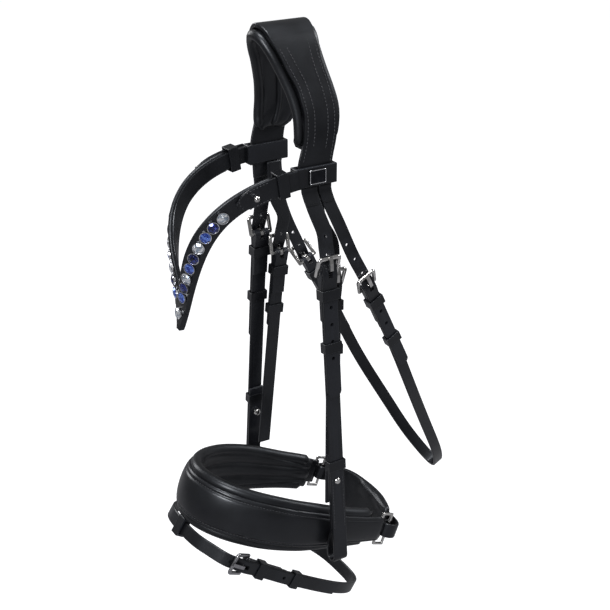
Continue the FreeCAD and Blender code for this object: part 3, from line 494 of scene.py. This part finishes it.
def stitches(name, body, rows):
    """One piece holding several stitched rows on a body."""
    points, faces = [], []
    for row in rows:
        if len(row) < 2:
            continue
        new_points, new_faces = stitch_row(row)
        faces += [tuple(index + len(points) for index in face) for face in new_faces]
        points += new_points
    if points:
        finish_piece(make_object(name, points, faces, THREAD), body, "black_leather")


def both_edges(sections, margin, lift=0.05 * MM):
    """Lines along both edges of a strap, a margin in from them and a little above its outer face."""
    rows = []
    for side in (-1, 1):
        row = []
        for section in sections:
            over = side * (section.width / 2 - margin)
            rise = section.thick / 2 + lift
            row.append(section.middle + section.across * over + section.out * rise)
        rows.append(row)
    return rows


# ------------------------------------------------------------------ soft parts

def padded(bulge, channel=(), inner=1.0, reach=1.0, ribs=0):
    """A pad's cross-section: crowned outer face with sewn channels, inner face flat or in round ribs.

    bulge is the crown's height, channel holds pairs of place across and depth, inner scales the depth of
    the inner face and reach the width.
    """
    def profile(width, thick):
        width = width * reach
        outline = []
        for spot in range(PAD_POINTS):
            share = spot / (PAD_POINTS - 1) * 2 - 1
            edge = (1 - abs(share) ** 8) ** 0.5
            height = thick / 2 * edge + bulge * (1 - share ** 2) * edge
            for place, deep in channel:
                gap = (share - place) / 0.045
                height -= deep * math.exp(-gap * gap)
            outline.append((share * width / 2, height))
        for spot in range(PAD_POINTS - 2, 0, -1):
            share = spot / (PAD_POINTS - 1) * 2 - 1
            edge = (1 - abs(share) ** 8) ** 0.5
            swell = 0.45 + 0.55 * abs(math.sin(ribs * math.pi * (share + 1) / 2)) ** 0.6 if ribs else 1
            outline.append((share * width / 2, -thick / 2 * edge * inner * swell))
        return outline
    return profile


def puff(piece, pressure, cap):
    """Swells a soft piece with cloth pressure, no point moving further than cap."""
    start = np.array([vertex.co[:] for vertex in piece.data.vertices])
    cloth = piece.modifiers.new("swell", "CLOTH")
    cloth.settings.use_pressure = True
    cloth.settings.uniform_pressure_force = pressure
    cloth.settings.effector_weights.gravity = 0
    cloth.settings.tension_stiffness = 18
    cloth.settings.bending_stiffness = 0.6
    cloth.settings.quality = 5
    scene = bpy.context.scene
    for step in range(1, CLOTH_STEPS + 1):
        scene.frame_set(step)
    swollen = piece.evaluated_get(bpy.context.evaluated_depsgraph_get())
    moved = np.array([vertex.co[:] for vertex in swollen.to_mesh().vertices])
    swollen.to_mesh_clear()
    piece.modifiers.remove(cloth)
    shift = moved - start
    length = np.linalg.norm(shift, axis=1, keepdims=True)
    shift *= np.minimum(1, cap / np.maximum(length, 1e-9))
    for vertex, place in zip(piece.data.vertices, start + shift):
        vertex.co = Vector(place)
    scene.frame_set(1)


def edge_rolls(name, body, sections, inset, lift, radius, around):
    """Two round rolls of soft leather along both edges of a pad."""
    for number, side in enumerate((-1, 1)):
        line = []
        for section in sections[1:-1]:
            over = side * (section.width / 2 - inset)
            line.append(section.middle + section.across * over + section.out * lift)
        roll = tube("%s_%d" % (name, number), line, radius, LINING, around=around)
        finish_piece(roll, body, "soft_lining")


def nose_sections(node, reach):
    """Cuts round the noseband, from its far end to its near end."""
    front = middle_of(node, 12 * MM, behind=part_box(node)[0][1] + 30 * MM)
    run = both_ways(node, front, (0, -1, 0), SECTION_STEP, reach)
    for section in run:
        section.across = -section.across
    return smooth(run)


def noseband():
    """The band with its rounded face and stitched border, and the soft lining rolled over its rims."""
    band = nose_sections("noseband_band", 42 * MM)
    profile = padded(3 * MM, channel=((-0.79, 1.1 * MM), (0.79, 1.1 * MM)), reach=0.9)
    face = shaped("noseband_face", band, profile, LEATHER, taper=2)
    finish_piece(face, "noseband", "black_leather", "noseband_band")
    stitches("noseband_stitches", "noseband", both_edges(band[2:-2], 7 * MM, 0.5 * MM))
    lining = nose_sections("noseband_lining", 46 * MM)
    soft = padded(0.2 * MM, channel=((0, 0.5 * MM),), inner=1.45, ribs=3)
    pad = shaped("noseband_padding", lining, soft, LINING)
    puff(pad, 3, 1 * MM)
    finish_piece(pad, "noseband", "soft_lining", "noseband_lining")
    edge_rolls("noseband_roll", "noseband", lining, 3.4 * MM, 0.4 * MM, 6 * MM, 20)


def crown_sections(node, reach):
    """Cuts over the poll, from the far end to the near end."""
    return smooth(both_ways(node, middle_of(node, 4 * MM), (0, 0, 1), SECTION_STEP, reach))


def crown():
    """The soft pad with its two edge rolls and middle ridge, and stitching on the crown above it."""
    pad = crown_sections("crown_pad", 45 * MM)
    profile = padded(-0.4 * MM, channel=((-0.74, 0.6 * MM), (0.74, 0.6 * MM)), inner=1.15)
    soft = shaped("crown_padding", pad, profile, LINING)
    puff(soft, 3, 1.2 * MM)
    finish_piece(soft, "headpiece", "soft_lining", "crown_pad")
    edge_rolls("crown_roll", "headpiece", pad, 1.2 * MM, -0.4 * MM, 4.7 * MM, 16)
    ridge_line = [section.middle - section.out * (section.thick / 2 + 0.2 * MM) for section in pad[2:-2]]
    ridge = tube("crown_ridge", ridge_line, 2.6 * MM, LINING, around=12)
    finish_piece(ridge, "headpiece", "soft_lining")
    strap = crown_sections("crown_strap", 42 * MM)
    rows = both_edges(strap[5:-5], 3.2 * MM) + both_edges(strap[8:-8], 10.5 * MM)
    stitches("crown_stitches", "headpiece", rows)


def chin():
    """The chin pad, swelled by cloth pressure."""
    run = both_ways("chin_pad", middle_of("chin_pad", 6 * MM), (0, 1, 0), 4 * MM, 40 * MM)
    pad = shaped("chin_cushion", smooth(run), padded(0.6 * MM, inner=1.1), LINING, taper=4)
    puff(pad, 4, 2.2 * MM)
    finish_piece(pad, "chin", "soft_lining", "chin_pad")


# ------------------------------------------------------------------ straps

def cheek(name, side):
    """Stitching on one cheekpiece: down from its buckle and above its bit loop."""
    strap = march_down(name + "_cheekpiece", side, 16 * MM)
    near_buckle = strap[3:12]
    near_bit = strap[-26:-9]
    rows = both_edges(near_buckle, 2 * MM) + both_edges(near_bit, 2 * MM)
    stitches(name + "_cheek_stitches", name + "_cheek", rows)


def hanger(name, side):
    """Stitching on the folded top end of one noseband hanger, down both edges."""
    strap = march_down(name + "_noseband_hanger", side, 15 * MM)
    stitches(name + "_hanger_stitches", "noseband", both_edges(strap[3:11], 1.8 * MM))


def flex_cover(name, node, middle):
    """A thin leather sleeve round a billet where it leaves the crown, over the joint line."""
    rings = []
    for step in range(9):
        share = step / 8
        z = FLEX_TOP + (FLEX_BOTTOM - FLEX_TOP) * share
        origin = np.array([middle[0], middle[1], min(z, BILLET_CUT)])
        points = cut(edge_ends(node), origin, np.array([0.0, 0.0, 1.0]), 16 * MM)
        low, high = points.min(axis=0), points.max(axis=0)
        centre = np.array([(low[0] + high[0]) / 2, (low[1] + high[1]) / 2, z])
        skin = (0.28 - 0.25 * share) * MM
        half_x = (high[0] - low[0]) / 2 + skin
        half_y = (high[1] - low[1]) / 2 + skin
        ring = []
        for spot in range(24):
            turn = 2 * math.pi * spot / 24
            over_x = half_x * math.copysign(abs(math.cos(turn)) ** FLEX_SHAPE, math.cos(turn))
            over_y = half_y * math.copysign(abs(math.sin(turn)) ** FLEX_SHAPE, math.sin(turn))
            ring.append(centre + np.array([over_x, over_y, 0]))
        rings.append(ring)
    cover = loft(name, rings, LEATHER)
    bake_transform(cover)


def flex_covers():
    """A thin leather sleeve over each of the six billets, placed where its billet leaves the crown."""
    for name, side in SIDES:
        flex_cover(name + "_cheek_flex", name + "_cheek_billet", (0.045 * side, 0.0015))
        flex_cover(name + "_noseband_flex", "noseband_billets", (0.0392 * side, 0.013))
        flex_cover(name + "_throat_flex", "throat_billets", (0.045 * side, 0.0185))


def brow_place(share, side):
    """A point on an arm's middle line, its direction, its outward face and its upward edge."""
    knots = np.array([(0, -112, -251), (16, -106, -201), (42, -124, -132), (46, -12, -122.5)]) * MM
    knots[:, 0] *= side
    keep = 1 - share
    point = (keep ** 3 * knots[0] + 3 * keep ** 2 * share * knots[1] + 3 * keep * share ** 2 * knots[2]
             + share ** 3 * knots[3])
    ahead = unit(keep ** 2 * (knots[1] - knots[0]) + 2 * keep * share * (knots[2] - knots[1])
                 + share ** 2 * (knots[3] - knots[2]))
    lean = min(share * 1.25, 1)
    out = np.array([side * lean, lean - 1, 0.1 * (1 - lean)])
    out = unit(out - ahead * (out @ ahead))
    return point, out, np.cross(ahead, out) * side


def brow_line(side, first, last, over, lift, count):
    """A line along an arm, over mm above its middle line and lift mm out from it."""
    line = []
    for step in range(count + 1):
        point, out, up = brow_place(first + (last - first) * step / count, side)
        line.append(point + up * over * MM + out * lift * MM)
    return line


def browband():
    """Rolled cords along both edges of each arm, and stitching round the tabs."""
    for name, side in SIDES:
        for number, edge in enumerate((-1, 1)):
            line = brow_line(side, CORD_START, CORD_END, edge * (BROW_HALF - CORD_INSET), CORD_LIFT, 40)
            cord = tube("%s_brow_cord_%d" % (name, number), line, CORD_RADIUS * MM, LINING, around=12)
            finish_piece(cord, "browband", "soft_lining")
        rows = [brow_line(side, TAB_START, TAB_END, edge * TAB_HALF, TAB_FACE, 24) for edge in (-1, 1)]
        end = [brow_line(side, share, share, over, TAB_FACE, 1)[0] for share, over in TAB_ROUND]
        stitches(name + "_tab_stitches", "browband", rows + [end])


def plate_border():
    """A bright wire edge round the blank plate on the near loop."""
    low, high = (np.array(corner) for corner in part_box("name_plate"))
    inset = 0.6 * MM
    y_low, y_high = low[1] + inset, high[1] - inset
    z_low, z_high = low[2] + inset, high[2] - inset
    corners = [(y_low, z_low), (y_high, z_low), (y_high, z_high), (y_low, z_high)]
    line = []
    for (y_one, z_one), (y_two, z_two) in zip(corners, corners[1:] + corners[:1]):
        for step in range(8):
            share = step / 8
            line.append((high[0], y_one + (y_two - y_one) * share, z_one + (z_two - z_one) * share))
    border = tube("plate_border", line, 0.5 * MM, SILVER, around=8, closed=True)
    finish_piece(border, "browband", "silver_settings")


# ------------------------------------------------------------------ stage

def show_bright(tree, socket, seen_by_object, seen_by_camera):
    """Gives a socket one value for the camera and another for light that reaches the object."""
    path = tree.nodes.new("ShaderNodeLightPath")
    choose = tree.nodes.new("ShaderNodeMapRange")
    choose.inputs["To Min"].default_value = seen_by_object
    choose.inputs["To Max"].default_value = seen_by_camera
    tree.links.new(path.outputs["Is Camera Ray"], choose.inputs[0])
    tree.links.new(choose.outputs[0], socket)


def stage():
    """A wide pale floor under the object and a pale world, both bright only to the camera."""
    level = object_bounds()[0][2] - FLOOR_DROP
    corners = [(-FLOOR_HALF, -FLOOR_HALF, level), (FLOOR_HALF, -FLOOR_HALF, level),
               (FLOOR_HALF, FLOOR_HALF, level), (-FLOOR_HALF, FLOOR_HALF, level)]
    material, tree, shader = new_material("paper")
    shader.inputs["Base Color"].default_value = (0.22, 0.22, 0.23, 1)
    shader.inputs["Roughness"].default_value = 0.9
    shader.inputs["Emission Color"].default_value = (0.95, 0.955, 0.965, 1)
    show_bright(tree, shader.inputs["Emission Strength"], 0.0, 1.0)
    floor = make_object("floor", corners, [(0, 1, 2, 3)], material, shade=False)
    floor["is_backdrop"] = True
    world = bpy.data.worlds.new("studio")
    world.use_nodes = True
    sky = world.node_tree.nodes["Background"]
    sky.inputs[0].default_value = (0.98, 0.985, 1, 1)
    show_bright(world.node_tree, sky.inputs[1], 0.2, 1.0)
    bpy.context.scene.world = world
    bpy.context.scene.view_settings.view_transform = "Standard"


def softbox(name, place, target, size, power):
    """A rectangular area light aimed at a target."""
    light = bpy.data.lights.new(name, "AREA")
    light.shape = "RECTANGLE"
    light.size, light.size_y = size
    light.energy = power
    lamp = bpy.data.objects.new(name, light)
    bpy.context.scene.collection.objects.link(lamp)
    lamp.location = place
    lamp.rotation_euler = (Vector(target) - Vector(place)).to_track_quat("-Z", "Y").to_euler()


def lights():
    """Key, fill, rim and top light round the middle of the bridle."""
    target = (0, 0.02, -0.25)
    softbox("key", (1.3, -1.5, 1.0), target, (0.6, 1.2), 46)
    softbox("fill", (-1.6, -0.6, 0.5), target, (0.8, 1.2), 16)
    softbox("rim", (0.5, 1.7, 0.9), target, (1.0, 0.5), 26)
    softbox("top", (0.2, 0, 1.6), target, (0.6, 0.6), 20)


def camera():
    """A long lens on the near side, a little ahead of the shoulder and above the crown."""
    azimuth, pitch, distance = math.radians(58), math.radians(25), 1.15
    target = Vector((0, 0.02544, -0.27693))
    level = math.cos(pitch)
    back = Vector((math.sin(azimuth) * level, -math.cos(azimuth) * level, math.sin(pitch)))
    lens = bpy.data.cameras.new("camera")
    lens.sensor_width, lens.lens = 36, 66.69
    eye = bpy.data.objects.new("camera", lens)
    bpy.context.scene.collection.objects.link(eye)
    eye.location = target + back * distance
    eye.rotation_euler = (-back).to_track_quat("-Z", "Y").to_euler()
    bpy.context.scene.camera = eye


dress_nodes()
crown()
noseband()
chin()
for side_name, side_sign in SIDES:
    cheek(side_name, side_sign)
    hanger(side_name, side_sign)
browband()
plate_border()
flex_covers()
stage()
lights()
camera()
